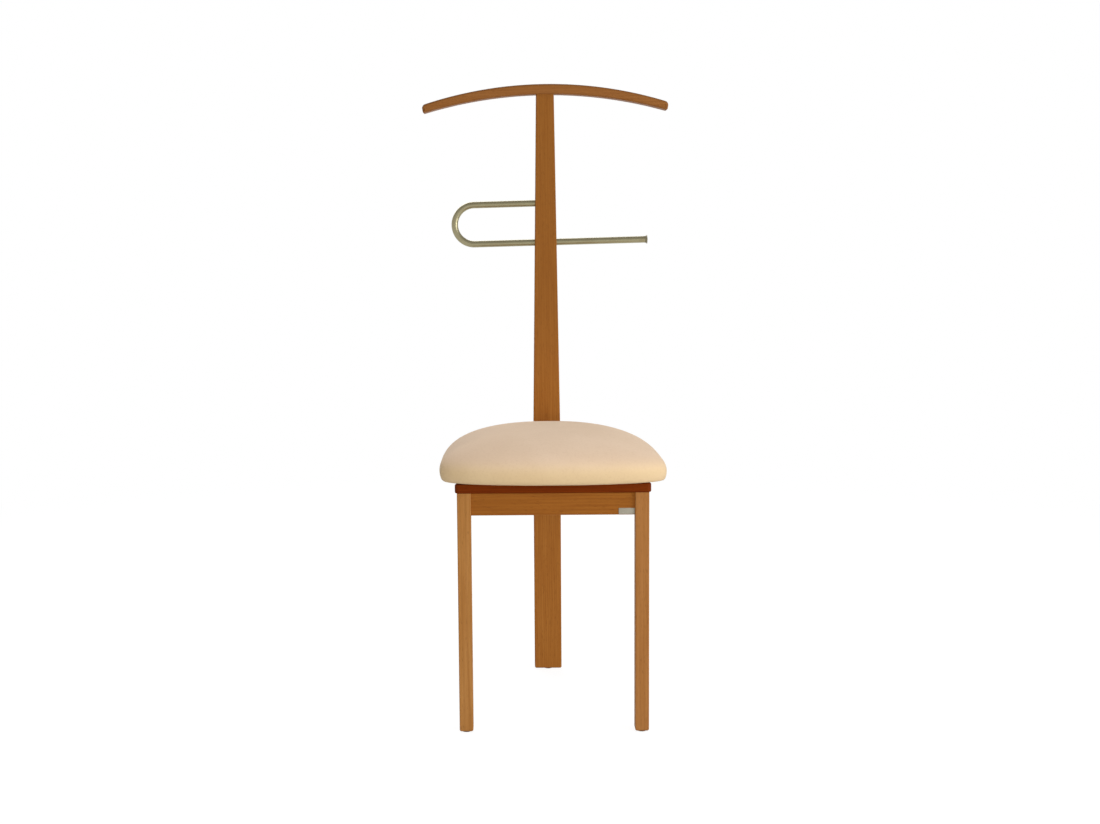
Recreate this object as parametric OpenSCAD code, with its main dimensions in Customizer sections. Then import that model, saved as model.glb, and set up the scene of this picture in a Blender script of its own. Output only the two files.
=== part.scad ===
// Clothes valet chair: two front legs, one tall rear post that carries a jacket hanger and a
// bent trouser bar, and a crowned cushion on a dowelled seat frame.
// X runs to the chair's left-right side, -Y is the front, +Z is up. Millimetres.

/* [Overall] */
// Height of the hanger's highest point above the floor
overall_h = 1080; // [1000:5:1160]
// Distance from the front legs' front faces to the rear post's front face
leg_to_post = 370; // [340:5:400]
// Distance from the front legs' front faces to the most forward point of the cushion
pad_ahead = 34; // [26:1:44]

/* [Front legs] */
// Side of the square front leg
leg_w = 22.5; // [20:0.5:28]
// Distance between the outer faces of the two front legs
legs_outer_w = 309.5; // [290:0.5:330]
// Rounding of the legs' and post's long edges
edge_r = 1.6; // [1:0.1:2.5]
// Rounding at the bottom of the legs and post
foot_r = 3.4; // [2:0.1:4]

/* [Rear post] */
// Width of the post from the floor to where its taper starts
post_w = 50; // [44:1:60]
// Width of the post at its top
post_top_w = 32; // [28:0.5:40]
// Thickness of the post, front to back
post_t = 24; // [22:1:26]
// Height at which the post starts to narrow
taper_z = 430; // [400:5:520]

/* [Seat frame] */
// Height of the underside of the seat board
frame_top = 396.5; // [370:0.5:410]
// Height of the front, side and rear rails
rail_h = 37; // [36:1:44]
// Thickness of the front and side rails
rail_t = 18; // [16:1:20]
// How far the front rail is set back from the legs' front faces
rail_recess = 4.5; // [2:0.5:4.5]
// Width of the rear rail in front of the post
rear_rail_w = 158; // [140:2:200]
// Thickness of the rear rail
rear_rail_t = 22; // [20:1:26]

/* [Seat board] */
// Width of the board along its front edge
board_w = 316; // [306:1:330]
// Width of the board at the post
board_rear_w = 176; // [160:2:220]
// Thickness of the board
board_t = 15; // [12:1:18]
// How far the board stands ahead of the front legs
board_ahead = 2; // [0:0.5:4]

/* [Cushion] */
// Width of the cushion at its widest
pad_w = 369; // [350:1:390]
// Height of the cushion's crown above the seat board
pad_h = 75.5; // [62:0.5:85]
// Distance from the cushion's front to the line where it is widest
pad_bow = 55; // [45:1:90]
// Height of the widest line above the seat board
pad_wide_z = 20; // [14:1:26]
// Thickness of the fabric cover
cover_t = 1.2; // [1:0.1:1.6]
// Thickness of the plywood under the foam
base_t = 10; // [8:1:12]

/* [Jacket hanger] */
// Width of the hanger from tip to tip
hanger_w = 444; // [420:2:480]
// Depth of the hanger, front to back
hanger_d = 30; // [26:1:34]
// Height of the hanger's section in its middle
hanger_h = 18; // [17:0.5:22]
// Radius of the hanger's upper curve
hanger_top_r = 730; // [680:10:800]
// Radius of the hanger's lower curve
hanger_low_r = 790; // [760:10:900]

/* [Trouser bar] */
// Outer diameter of the tube
tube_d = 12; // [10:0.5:12]
// Wall of the tube
tube_wall = 1.2; // [1:0.1:1.5]
// Height of the tube's lower leg where it crosses the post
bar_z = 797; // [720:1:850]
// Distance between the centre lines of the two legs of the tube
bar_gap = 71; // [60:1:90]
// How far the bend reaches to the left of the post's centre line
bar_left = 170.5; // [150:0.5:200]
// How far the free end reaches to the right of the post's centre line
bar_right = 186; // [150:1:210]
// Angle by which the bar rises towards its free end, in degrees
bar_tilt = 1; // [0:0.1:3]

/* [Hidden] */

$fn = 48;
cut = 1;                  // how far a cutter runs past the face it opens
beech = "#97602d";
beech_dark = "#955c2a";
board_brown = "#6a2d0d";
cover_cream = "#dfc4a0";
tube_olive = "#8e866a";
steel = "silver";

// Depth positions. The cushion's front and the hanger's back are the same distance from Y = 0.
depth_total = pad_ahead + leg_to_post + post_t / 2 + hanger_d / 2;
pad_front_y = -depth_total / 2;
leg_front_y = pad_front_y + pad_ahead;
leg_back_y = leg_front_y + leg_w;
post_front_y = leg_front_y + leg_to_post;
post_back_y = post_front_y + post_t;
post_mid_y = (post_front_y + post_back_y) / 2;
leg_x = (legs_outer_w - leg_w) / 2;
leg_mid_y = leg_front_y + leg_w / 2;

// Glides: a flat disc with a nail that goes up into the wood
glide_t = 1.5;
glide_d = 16;
glide_edge = 0.6;
nail_d = 2.4;
nail_l = 16;
nail_point_d = 0.4;

// Seat frame
rail_z = frame_top - rail_h;
front_rail_y = leg_front_y + rail_recess;
front_rail_l = legs_outer_w - 2 * leg_w;
rear_rail_y = post_front_y - rear_rail_t;
side_l_y = rear_rail_y - leg_back_y;
rear_rail_over = 1.5;     // how far the rear rail stands out beside the side rails
side_rear_x = rear_rail_w / 2 - rail_t / 2 - rear_rail_over;
side_angle = atan((leg_x - side_rear_x) / side_l_y);
side_half = rail_t / 2 / cos(side_angle);
rail_mid_z = rail_z + rail_h / 2;

// Dowels of the seat frame
dowel_d = 8;
dowel_in_leg = 11;
dowel_in_rail = 17;
dowel_step = 18;          // height between the two dowels of one joint
dowel_bevel = 1;

// Corner blocks
block_side = 46;
block_nose = 9;
block_h = 28;
block_z = frame_top - block_h - 1;
block_screw_off = 27;     // from the corner along each rail
block_screw_seat = 15;    // wood left under the screw's head
block_screw_l = 27;
block_screw_up = 4;       // height of its screws above the block's middle
block_screw_z = block_z + block_h / 2 + block_screw_up;

// Wood screws
screw_d = 4;
screw_head_d = 8;
screw_head_h = 2.4;
screw_rim = 0.4;          // upright edge of the countersunk head
screw_tip = 4;
screw_point_d = 1;
board_screw_l = 32;
cushion_screw_l = 24;

// Post bolts and their threaded inserts
bolt_d = 6;
bolt_hole_d = 6.6;
bolt_head_d = 15;
bolt_head_t = 2.4;
bolt_hex = 4.6;
bolt_hex_deep = 1.6;
bolt_step = 18;
insert_d = 10;
insert_l = 16;
bolt_reach = 14;          // how far a bolt enters the rear rail

// Seat board
board_top = frame_top + board_t;
board_front_y = leg_front_y - board_ahead;
board_corner_r = 7;
board_edge = 2.4;         // rounding of its upper and lower edges

// Screws that hold the board down, on the four rails, all under the cushion
front_screw_x = 75;
side_screw_y = [-60, 70];
rear_screw_x = 40;
rear_screw_in = 7;        // from the rear rail's front face
cushion_screw_places = [[70, -105], [60, 60]];

// Cushion: every ring is the same plan outline, drawn in towards one centre point
pad_points = 44;
pad_wide_y = pad_front_y + pad_bow;
pad_gap = 1;              // between the cushion's back and the post
pad_depth = post_front_y - pad_gap - pad_front_y;
pad_rear = pad_depth - pad_bow;
pad_centre_back = 205;     // from the cushion's front to the point it is drawn in towards
pad_centre_y = pad_front_y + pad_centre_back;
front_power = 2;          // fullness of the plan ahead of the widest line
rear_power = 3.2;         // fullness of the plan behind it
side_power = 2.28;        // fullness of the crown's section
under_share = 0.955;      // size of the flat underside, as a share of the plan
turn_in_share = 0.8;      // where the turned-in edge of the cover ends
base_share = 0.9;
cloth_share = 0.86;
cloth_t = 0.8;
base_z = cloth_t + cover_t;
crown_steps = [8, 20, 35, 52, 69, 81, 87];
under_steps = [-90, -60, -30, 0];
lining_crown_steps = [14, 35, 58, 76, 86];
lining_under_steps = [-90, -30, 0];

// Hanger
hanger_low_z = overall_h - hanger_h;
hanger_edge = 3.8;
hanger_tip_top_r = 6.5;   // rounding at the upper corner of a tip
hanger_tip_foot_r = 3;    // rounding at its lower corner
hanger_tip_side_r = 4;    // rounding towards its front and back
hanger_tip_lean = 10;     // slant of the end faces from upright, in degrees
hanger_stations = 26;
hanger_tip_steps = [18, 36, 54, 72, 90];
hanger_edge_steps = 5;
housing_deep = 1.5;       // how far the post's top enters the hanger
post_top_z = hanger_low_z + housing_deep;
hanger_dowel_d = 6;
hanger_dowel_x = 8.5;
hanger_dowel_down = 22;
hanger_dowel_up = 10;

// Trouser bar
bend_r = bar_gap / 2;
bend_x = -bar_left + tube_d / 2 + bend_r;
blind_deep = 13;          // how far the tube's upper leg enters the post
bore_slack = 0.2;
cap_d = 16;
cap_t = 5;                // from the tube's end to the cap's farthest point
cap_dome = 1.2;           // how far the middle of its face stands out
cap_rim = 0.7;            // upright edge between the face and the flare
cap_lip = 0.3;            // how far the cap stands out beside the tube where it meets it
cap_plug_l = 12;
fix_screw_d = 3.5;
fix_head_d = 7;
fix_head_h = 2;
fix_screw_l = 13;

// Half of the post's width at the height z
function post_half(z) = z < taper_z ? post_w / 2
    : post_w / 2 - (post_w - post_top_w) / 2 * (z - taper_z) / (post_top_z - taper_z);

// Rounded rectangle centred on the origin, w by d, corner radius r
function rounded_rect(w, d, r, steps = 4) = [
    for (c = [[1, 1, 0], [-1, 1, 90], [-1, -1, 180], [1, -1, 270]])
        for (i = [0:steps])
            let (a = c[2] + 90 * i / steps)
            [c[0] * (w / 2 - r) + r * cos(a), c[1] * (d / 2 - r) + r * sin(a)]
];

// Ring of a plan outline at the height z, moved to x, y
function ring_xy(outline, x, y, z) = [for (p = outline) [x + p[0], y + p[1], z]];

// Solid through a list of flat rings that have the same number of points
module loft(rings) {
    count = len(rings[0]);
    levels = len(rings);
    points = [for (ring = rings) for (p = ring) p];
    sides = [
        for (k = [0:levels - 2])
            for (i = [0:count - 1])
                let (j = (i + 1) % count)
                for (f = [[k * count + i, (k + 1) * count + j, k * count + j],
                        [k * count + i, (k + 1) * count + i, (k + 1) * count + j]])
                    f
    ];
    first_cap = [for (i = [0:count - 1]) i];
    last_cap = [for (i = [count - 1:-1:0]) (levels - 1) * count + i];
    polyhedron(points = points, faces = concat([first_cap], sides, [last_cap]), convexity = 6);
}

// Upright bar with rounded long edges and a rounded foot; sections holds [z, width] pairs
module upright(x, y, d, sections) {
    w0 = sections[0][1];
    foot = [
        for (a = [90, 60, 30])
            let (inset = foot_r * (1 - cos(a)))
            ring_xy(rounded_rect(w0 - 2 * inset, d - 2 * inset, edge_r), x, y,
                glide_t + foot_r * (1 - sin(a)))
    ];
    shaft = [for (s = concat([[glide_t + foot_r, w0]], sections))
        ring_xy(rounded_rect(s[1], d, edge_r), x, y, s[0])];
    loft(concat(foot, shaft));
}

// Rod along X from x0 to x1
module rod_x(d, x0, x1, y, z) {
    translate([x0, y, z])
        rotate([0, 90, 0])
            cylinder(h = x1 - x0, d = d);
}

// Rod along Y from y0 to y1
module rod_y(d, y0, y1, x, z) {
    translate([x, y0, z])
        rotate([-90, 0, 0])
            cylinder(h = y1 - y0, d = d);
}

// Dowel along +Z from z0 to z1 with bevelled ends
module dowel(d, z0, z1) {
    translate([0, 0, z0])
        cylinder(h = dowel_bevel, d1 = d - 2 * dowel_bevel, d2 = d);
    translate([0, 0, z0 + dowel_bevel])
        cylinder(h = z1 - z0 - 2 * dowel_bevel, d = d);
    translate([0, 0, z1 - dowel_bevel])
        cylinder(h = dowel_bevel, d1 = d, d2 = d - 2 * dowel_bevel);
}

// Countersunk screw with its flat head at z = 0, pointing up
module screw(d, head_d, head_h, l, over = 0) {
    translate([0, 0, -over])
        cylinder(h = over + screw_rim, d = head_d);
    translate([0, 0, screw_rim])
        cylinder(h = head_h - screw_rim, d1 = head_d, d2 = d);
    translate([0, 0, head_h])
        cylinder(h = l - head_h - screw_tip, d = d);
    translate([0, 0, l - screw_tip])
        cylinder(h = screw_tip, d1 = d, d2 = screw_point_d);
}

// Places of the frame's joints, on the side s (-1 left, 1 right)
module at_front_joint(s) {
    for (dz = [-dowel_step / 2, dowel_step / 2])
        translate([s * front_rail_l / 2, front_rail_y + rail_t / 2, rail_mid_z + dz])
            rotate([0, s * 90, 0])
                children();
}

module at_side_front_joint(s) {
    translate([s * leg_x, leg_back_y, rail_mid_z])
        rotate([90, 0, s * side_angle])
            children();
}

module at_side_rear_joint(s) {
    for (dz = [-dowel_step / 2, dowel_step / 2])
        translate([s * side_rear_x, rear_rail_y, rail_mid_z + dz])
            rotate([-90, 0, s * side_angle])
                children();
}

// All dowels of the seat frame on the side s, or the bores for them
module frame_dowels(s) {
    at_front_joint(s)
        dowel(dowel_d, -dowel_in_rail, dowel_in_leg);
    at_side_front_joint(s)
        dowel(dowel_d, -dowel_in_rail, dowel_in_leg);
    at_side_rear_joint(s)
        dowel(dowel_d, -dowel_in_rail, dowel_in_leg);
}

module glide(x, y) {
    translate([x, y, 0])
        cylinder(h = glide_edge, d1 = glide_d - 2 * glide_edge, d2 = glide_d);
    translate([x, y, glide_edge])
        cylinder(h = glide_t - glide_edge, d = glide_d);
    glide_nail(x, y);
}

module glide_nail(x, y) {
    translate([x, y, glide_t])
        cylinder(h = nail_l - nail_d, d = nail_d);
    translate([x, y, glide_t + nail_l - nail_d])
        cylinder(h = nail_d, d1 = nail_d, d2 = nail_point_d);
}

module front_leg(s) {
    color(beech)
    difference() {
        upright(s * leg_x, leg_mid_y, leg_w, [[frame_top, leg_w]]);
        frame_dowels(s);
        glide_nail(s * leg_x, leg_mid_y);
    }
}

module rear_post() {
    color(beech)
    difference() {
        upright(0, post_mid_y, post_t, [[taper_z, post_w], [post_top_z, post_top_w]]);
        bolt_holes();
        at_bar()
            rod_x(tube_d + bore_slack, -post_w, post_w, 0, 0);
        at_bar()
            rod_x(tube_d + bore_slack, -post_w, blind_end_x(), 0, bar_gap);
        fixing_screw(cut);
        hanger_dowels();
        glide_nail(0, post_mid_y);
    }
}

// Where the blind bore for the tube's upper leg ends
function blind_end_x() = blind_deep - post_half(bar_z + bar_gap);

module bolt_holes() {
    for (dz = [-bolt_step / 2, bolt_step / 2])
        rod_y(bolt_hole_d, post_front_y - cut, post_back_y + cut, 0, rail_mid_z + dz);
}

module front_rail() {
    color(beech_dark)
    difference() {
        translate([-front_rail_l / 2, front_rail_y + rail_t / 2, rail_mid_z])
            rotate([90, 0, 90])
                linear_extrude(height = front_rail_l)
                    polygon(rounded_rect(rail_t, rail_h, edge_r));
        for (s = [-1, 1])
            frame_dowels(s);
        for (s = [-1, 1])
            block_screws(s, cut);
        board_screws(cut);
    }
}

// End of a side rail at x, y: both ends are cut parallel to the front rail
function side_rail_ring(x, y) = [for (p = rounded_rect(rail_h, 2 * side_half, edge_r))
    [x + p[1], y, rail_mid_z + p[0]]];

module side_rail(s) {
    color(beech_dark)
    difference() {
        loft([side_rail_ring(s * leg_x, leg_back_y), side_rail_ring(s * side_rear_x, rear_rail_y)]);
        frame_dowels(s);
        block_screws(s, cut);
        board_screws(cut);
    }
}

module rear_rail() {
    color(beech_dark)
    difference() {
        translate([-rear_rail_w / 2, rear_rail_y + rear_rail_t / 2, rail_mid_z])
            rotate([90, 0, 90])
                linear_extrude(height = rear_rail_w)
                    polygon(rounded_rect(rear_rail_t, rail_h, edge_r));
        for (s = [-1, 1])
            frame_dowels(s);
        for (dz = [-bolt_step / 2, bolt_step / 2])
            rod_y(insert_d, post_front_y - insert_l, post_front_y + cut, 0, rail_mid_z + dz);
        board_screws(cut);
    }
}

// The corner block's inner corner, and the directions along the front and the side rail
function block_corner() = [leg_x - side_half, leg_back_y];
function along_side() = [-sin(side_angle), cos(side_angle)];

module corner_block(s) {
    c = block_corner();
    u = along_side();
    color(beech_dark)
    difference() {
        translate([0, 0, block_z])
            linear_extrude(height = block_h)
                scale([s, 1])
                    polygon([
                        c,
                        [c[0] - block_side, c[1]],
                        [c[0] - block_side, c[1] + block_nose],
                        c + block_side * u + block_nose * [-u[1], u[0]],
                        c + block_side * u
                    ]);
        block_screws(s, 3 * block_side);
    }
}

// Two screws of one corner block: one into the front rail and one into the side rail
module block_screws(s, over = 0) {
    c = block_corner();
    u = along_side();
    p = c + block_screw_off * u + block_screw_seat * [-u[1], u[0]];
    translate([s * (c[0] - block_screw_off), c[1] + block_screw_seat, block_screw_z])
        rotate([90, 0, 0])
            screw(screw_d, screw_head_d, screw_head_h, block_screw_l, over);
    translate([s * p[0], p[1], block_screw_z])
        rotate([0, s * 90, s * side_angle])
            screw(screw_d, screw_head_d, screw_head_h, block_screw_l, over);
}

module corner_block_screws() {
    color(steel)
        for (s = [-1, 1])
            block_screws(s);
}

module rail_dowels() {
    color("burlywood")
        for (s = [-1, 1])
            frame_dowels(s);
}

// Centre of a side rail at the depth y
function side_rail_x(y) = leg_x - (y - leg_back_y) * tan(side_angle);

// Plan of the board, drawn in by inset
module board_plan(inset) {
    front = [board_w / 2 - board_corner_r, board_front_y + board_corner_r];
    rear = [board_rear_w / 2 - board_corner_r, post_front_y - board_corner_r];
    hull()
        for (s = [-1, 1])
            for (p = [front, rear])
                translate([s * p[0], p[1]])
                    circle(r = board_corner_r - inset, $fn = 32);
}

module seat_board() {
    color(board_brown)
    difference() {
        translate([0, 0, frame_top])
            hull()
                for (e = [0, 0.3, 1])
                    let (inset = board_edge * (1 - sqrt(1 - pow(1 - e, 2))))
                    translate([0, 0, board_edge * e])
                        linear_extrude(height = board_t - 2 * board_edge * e)
                            board_plan(inset);
        board_screws(cut);
        cushion_screws(cut);
    }
}

// Screws that hold the board down on the frame, heads up
module board_screws(over = 0) {
    places = concat(
        [[front_screw_x, front_rail_y + rail_t / 2], [rear_screw_x, rear_rail_y + rear_screw_in]],
        [for (y = side_screw_y) [side_rail_x(y), y]]);
    color(steel)
        for (s = [-1, 1])
            for (p = places)
                translate([s * p[0], p[1], board_top])
                    rotate([180, 0, 0])
                        screw(screw_d, screw_head_d, screw_head_h, board_screw_l, over);
}

// Screws that come up through the board into the cushion's base
module cushion_screws(over = 0) {
    color(steel)
        for (s = [-1, 1])
            for (p = cushion_screw_places)
                translate([s * p[0], p[1], frame_top])
                    screw(screw_d, screw_head_d, screw_head_h, cushion_screw_l, over);
}

// Point of the cushion's plan at the angle t: one power curve ahead of the widest line and
// a longer one behind it
function signed_power(v, e) = sign(v) * pow(abs(v), e);
function pad_plan(t) = let (ahead = sin(t) < 0, n = ahead ? front_power : rear_power)
    [pad_w / 2 * signed_power(cos(t), 2 / n),
     pad_wide_y + (ahead ? pad_bow : pad_rear) * signed_power(sin(t), 2 / n)];

// The plan drawn in to a share of its size about the centre point. A rounding of 0 keeps the
// plan's corners and 1 gives an oval.
function pad_outline(share, rounding = 0) = [
    for (i = [0:pad_points - 1])
        let (t = 360 * i / pad_points, p = pad_plan(t) - [0, pad_centre_y])
        let (oval = [pad_w / 2 * cos(t), pad_depth / 2 * sin(t)])
        share * ((1 - rounding) * p + rounding * oval) + [0, pad_centre_y]
];
function pad_ring(share, z, rounding = 0) =
    ring_xy(pad_outline(share, rounding), 0, 0, board_top + z);

// Section of the cushion at the angle a (-90 under the edge, 0 widest, 90 crown), inset by t.
// The corners fade towards the crown.
function crown_ring(a, t) = a > 0
    ? pad_ring(pow(cos(a), 2 / side_power) - 2 * t / pad_w,
        pad_wide_z + (pad_h - t - pad_wide_z) * pow(sin(a), 2 / side_power),
        1 - pow(cos(a), 2 / side_power))
    : pad_ring(under_share + (1 - under_share) * cos(a) - 2 * t / pad_w,
        pad_wide_z + (pad_wide_z - cloth_t - t) * sin(a));

outer_rings = [for (a = concat(under_steps, crown_steps)) crown_ring(a, 0)];
lining_rings = [for (a = concat(lining_under_steps, lining_crown_steps)) crown_ring(a, cover_t)];
function reversed(list) = [for (i = [len(list) - 1:-1:0]) list[i]];

// The cover is a bag: over the foam, round the edge and turned in under the base
module cushion_cover() {
    color(cover_cream)
        loft(concat(
            reversed(lining_rings),
            [pad_ring(turn_in_share, base_z), pad_ring(turn_in_share, cloth_t)],
            outer_rings));
}

// The foam lies on the base and comes down round its edge
module cushion_foam() {
    color("khaki")
        loft(concat(
            [pad_ring(base_share, base_z + base_t), pad_ring(base_share, base_z)],
            lining_rings));
}

module cushion_base() {
    color("tan")
    difference() {
        translate([0, 0, board_top + base_z])
            linear_extrude(height = base_t)
                polygon(pad_outline(base_share));
        cushion_screws();
    }
}

module cushion_dust_cloth() {
    color("dimgray")
    difference() {
        translate([0, 0, board_top])
            linear_extrude(height = cloth_t)
                polygon(pad_outline(cloth_share));
        cushion_screws();
    }
}

// Heights of the hanger's upper and lower curves at x
function hanger_top(x) = overall_h - hanger_top_r + sqrt(pow(hanger_top_r, 2) - x * x);
function hanger_low(x) = hanger_low_z - hanger_low_r + sqrt(pow(hanger_low_r, 2) - x * x);

// Half of the hanger's width along its foot: the end faces lean in towards it
function hanger_foot_half() = hanger_w / 2
    - (hanger_top(hanger_w / 2) - hanger_low(hanger_w / 2)) * tan(hanger_tip_lean);

// Section of the hanger through its upper curve at top_x and its lower curve at foot_x, drawn
// in by an inset at the top, at the foot and at the sides
function hanger_ring(top_x, foot_x, top_in = 0, foot_in = 0, side_in = 0) =
    let (top = [top_x, hanger_top(top_x) - top_in], foot = [foot_x, hanger_low(foot_x) + foot_in])
    let (h = norm(top - foot), edge = hanger_edge * (1 - side_in / hanger_d))
    [for (p = rounded_rect(hanger_d - 2 * side_in, h, min(edge, h / 2.2), hanger_edge_steps))
        let (at = foot + (p[1] / h + 0.5) * (top - foot))
        [at[0], post_mid_y + p[0], at[1]]];

// Section of the rounded tip on the side s, at the angle a from where the rounding starts
function hanger_tip_ring(s, a) = hanger_ring(
    s * (hanger_w / 2 - hanger_tip_top_r * (1 - sin(a))),
    s * (hanger_foot_half() - hanger_tip_foot_r * (1 - sin(a))),
    hanger_tip_top_r * (1 - cos(a)),
    hanger_tip_foot_r * (1 - cos(a)),
    hanger_tip_side_r * (1 - cos(a)));

module jacket_hanger() {
    middle = [for (i = [0:hanger_stations])
        let (share = 2 * i / hanger_stations - 1)
        hanger_ring(share * (hanger_w / 2 - hanger_tip_top_r),
            share * (hanger_foot_half() - hanger_tip_foot_r))];
    color(beech)
    difference() {
        loft(concat(
            [for (a = reversed(hanger_tip_steps)) hanger_tip_ring(-1, a)],
            middle,
            [for (a = hanger_tip_steps) hanger_tip_ring(1, a)]));
        translate([-post_top_w / 2, post_front_y, hanger_low_z - hanger_h])
            cube([post_top_w, post_t, hanger_h + housing_deep]);
        hanger_dowels();
    }
}

module hanger_dowels() {
    color("burlywood")
        for (s = [-1, 1])
            translate([s * hanger_dowel_x, post_mid_y, post_top_z])
                dowel(hanger_dowel_d, -hanger_dowel_down, hanger_dowel_up);
}

// Frame of the trouser bar: its lower leg lies on the local X axis
module at_bar() {
    translate([0, post_mid_y, bar_z])
        rotate([0, -bar_tilt, 0])
            children();
}

module tube_section(d) {
    difference() {
        circle(d = d);
        circle(d = d - 2 * tube_wall);
    }
}

module trouser_bar() {
    color(tube_olive)
    difference() {
        at_bar() {
            translate([bend_x, 0, 0])
                rotate([90, 0, 90])
                    linear_extrude(height = bar_right - cap_t - bend_x)
                        tube_section(tube_d);
            translate([bend_x, 0, bar_gap])
                rotate([90, 0, 90])
                    linear_extrude(height = blind_end_x() - bore_slack - bend_x)
                        tube_section(tube_d);
            translate([bend_x, 0, bend_r])
                rotate([90, -90, 0])
                    rotate_extrude(angle = 180, $fn = 96)
                        translate([bend_r, 0])
                            tube_section(tube_d);
        }
        fixing_screw(cut);
    }
}

// Trumpet-shaped cap: a domed face, a flare that runs out on the tube and a plug inside it
module trouser_bar_end_cap() {
    plug_r = tube_d / 2 - tube_wall;
    neck_r = tube_d / 2 + cap_lip;
    flare_l = cap_t - cap_dome - cap_rim;
    face = [for (share = [0, 0.35, 0.65, 0.85, 1]) [cap_d / 2 * share, cap_dome * pow(share, 2)]];
    flare = [for (a = [0:18:90])
        [neck_r + (cap_d / 2 - neck_r) * (1 - sin(a)), cap_dome + cap_rim + flare_l * (1 - cos(a))]];
    plug = [[plug_r, cap_t], [plug_r, cap_t + cap_plug_l], [0, cap_t + cap_plug_l]];
    color(tube_olive)
    at_bar()
        translate([bar_right, 0, 0])
            rotate([0, -90, 0])
                rotate_extrude()
                    polygon(concat(face, flare, plug));
}

module fixing_screw(over = 0) {
    translate([0, post_back_y, bar_z])
        rotate([90, 0, 0])
            screw(fix_screw_d, fix_head_d, fix_head_h, fix_screw_l, over);
}

module bar_fixing_screw() {
    color(steel)
        fixing_screw();
}

// Flanged bolts from behind the post, with a hexagon socket in each head
module post_bolts() {
    color(steel)
        for (dz = [-bolt_step / 2, bolt_step / 2])
            translate([0, 0, dz])
                difference() {
                    union() {
                        rod_y(bolt_d, post_front_y - bolt_reach, post_back_y, 0, rail_mid_z);
                        rod_y(bolt_head_d, post_back_y, post_back_y + bolt_head_t, 0, rail_mid_z);
                    }
                    translate([0, post_back_y + bolt_head_t - bolt_hex_deep, rail_mid_z])
                        rotate([-90, 0, 0])
                            cylinder(h = bolt_hex_deep + cut, d = bolt_hex, $fn = 6);
                }
}

module post_insert_nuts() {
    color("gold")
        for (dz = [-bolt_step / 2, bolt_step / 2])
            translate([0, 0, dz])
                difference() {
                    rod_y(insert_d, post_front_y - insert_l, post_front_y, 0, rail_mid_z);
                    rod_y(bolt_d, post_front_y - insert_l - cut, post_front_y + cut, 0, rail_mid_z);
                }
}

front_leg(-1);  // left_front_leg
front_leg(1);  // right_front_leg
rear_post();
front_rail();
side_rail(-1);  // left_side_rail
side_rail(1);  // right_side_rail
rear_rail();
corner_block(-1);  // left_corner_block
corner_block(1);  // right_corner_block
corner_block_screws();
rail_dowels();
seat_board();
board_screws();
cushion_base();
cushion_foam();
cushion_cover();
cushion_dust_cloth();
cushion_screws();
jacket_hanger();
hanger_dowels();
trouser_bar();
trouser_bar_end_cap();
bar_fixing_screw();
post_bolts();
post_insert_nuts();
color("dimgray") glide(-leg_x, leg_mid_y);  // left_front_glide
color("dimgray") glide(leg_x, leg_mid_y);  // right_front_glide
color("dimgray") glide(0, post_mid_y);  // rear_glide
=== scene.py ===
import math

import bmesh
import bpy
from mathutils import Matrix, Vector


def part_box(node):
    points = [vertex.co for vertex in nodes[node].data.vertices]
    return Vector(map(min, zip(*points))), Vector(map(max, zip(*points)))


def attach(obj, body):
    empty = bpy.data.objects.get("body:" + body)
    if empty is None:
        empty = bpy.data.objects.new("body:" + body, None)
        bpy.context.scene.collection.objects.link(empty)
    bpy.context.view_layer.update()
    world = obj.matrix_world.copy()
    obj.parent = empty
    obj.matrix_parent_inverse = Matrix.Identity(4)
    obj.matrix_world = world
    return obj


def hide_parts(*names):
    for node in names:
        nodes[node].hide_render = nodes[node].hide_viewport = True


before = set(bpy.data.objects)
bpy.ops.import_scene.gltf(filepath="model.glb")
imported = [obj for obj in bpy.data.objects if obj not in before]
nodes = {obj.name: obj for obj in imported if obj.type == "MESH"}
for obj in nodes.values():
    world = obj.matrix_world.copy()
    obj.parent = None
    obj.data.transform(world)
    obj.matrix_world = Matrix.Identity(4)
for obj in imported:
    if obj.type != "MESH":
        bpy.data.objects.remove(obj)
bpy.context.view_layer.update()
print("frame loaded with", len(nodes), "nodes")


def addObject(name, data):
    thing = bpy.data.objects.new(name, data)
    bpy.context.scene.collection.objects.link(thing)
    return thing


# camera
cameraView = {
    "place": (-0.0684434, -2.5834453, 0.7978362),
    "yaw": -1.3213,  # degrees to the right
    "pitch": 6.395,  # degrees down
    "roll": -0.6474,
    "lens": 49.493,
    "sensor": 36.0,
    "shift": 0.0682,  # the photograph is cut from a wider frame
}


def makeCamera():
    yaw = math.radians(cameraView["yaw"])
    pitch = math.radians(cameraView["pitch"])
    roll = math.radians(cameraView["roll"])
    ahead = Vector((math.sin(yaw) * math.cos(pitch), math.cos(yaw) * math.cos(pitch), -math.sin(pitch)))
    side = Vector((math.cos(yaw), -math.sin(yaw), 0.0))
    over = side.cross(ahead)
    right = side * math.cos(roll) + over * math.sin(roll)
    up = over * math.cos(roll) - side * math.sin(roll)
    data = bpy.data.cameras.new("camera")
    data.lens = cameraView["lens"]
    data.sensor_width = cameraView["sensor"]
    data.sensor_fit = "HORIZONTAL"
    data.shift_x = cameraView["shift"]
    camera = addObject("camera", data)
    turn = Matrix((right, up, -ahead)).transposed().to_4x4()
    camera.matrix_world = Matrix.Translation(cameraView["place"]) @ turn
    bpy.context.scene.camera = camera


makeCamera()


# helpers for materials
def addNode(tree, kind, settings=None, inputs=None):
    # a socket given as an input is linked, anything else is its value
    node = tree.nodes.new(kind)
    for key, value in (settings or {}).items():
        setattr(node, key, value)
    for key, value in (inputs or {}).items():
        if isinstance(value, bpy.types.NodeSocket):
            tree.links.new(value, node.inputs[key])
        else:
            node.inputs[key].default_value = value
    return node


def newMaterial(name):
    material = bpy.data.materials.new(name)
    material.use_nodes = True
    material.node_tree.nodes.clear()
    return material, material.node_tree


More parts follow.
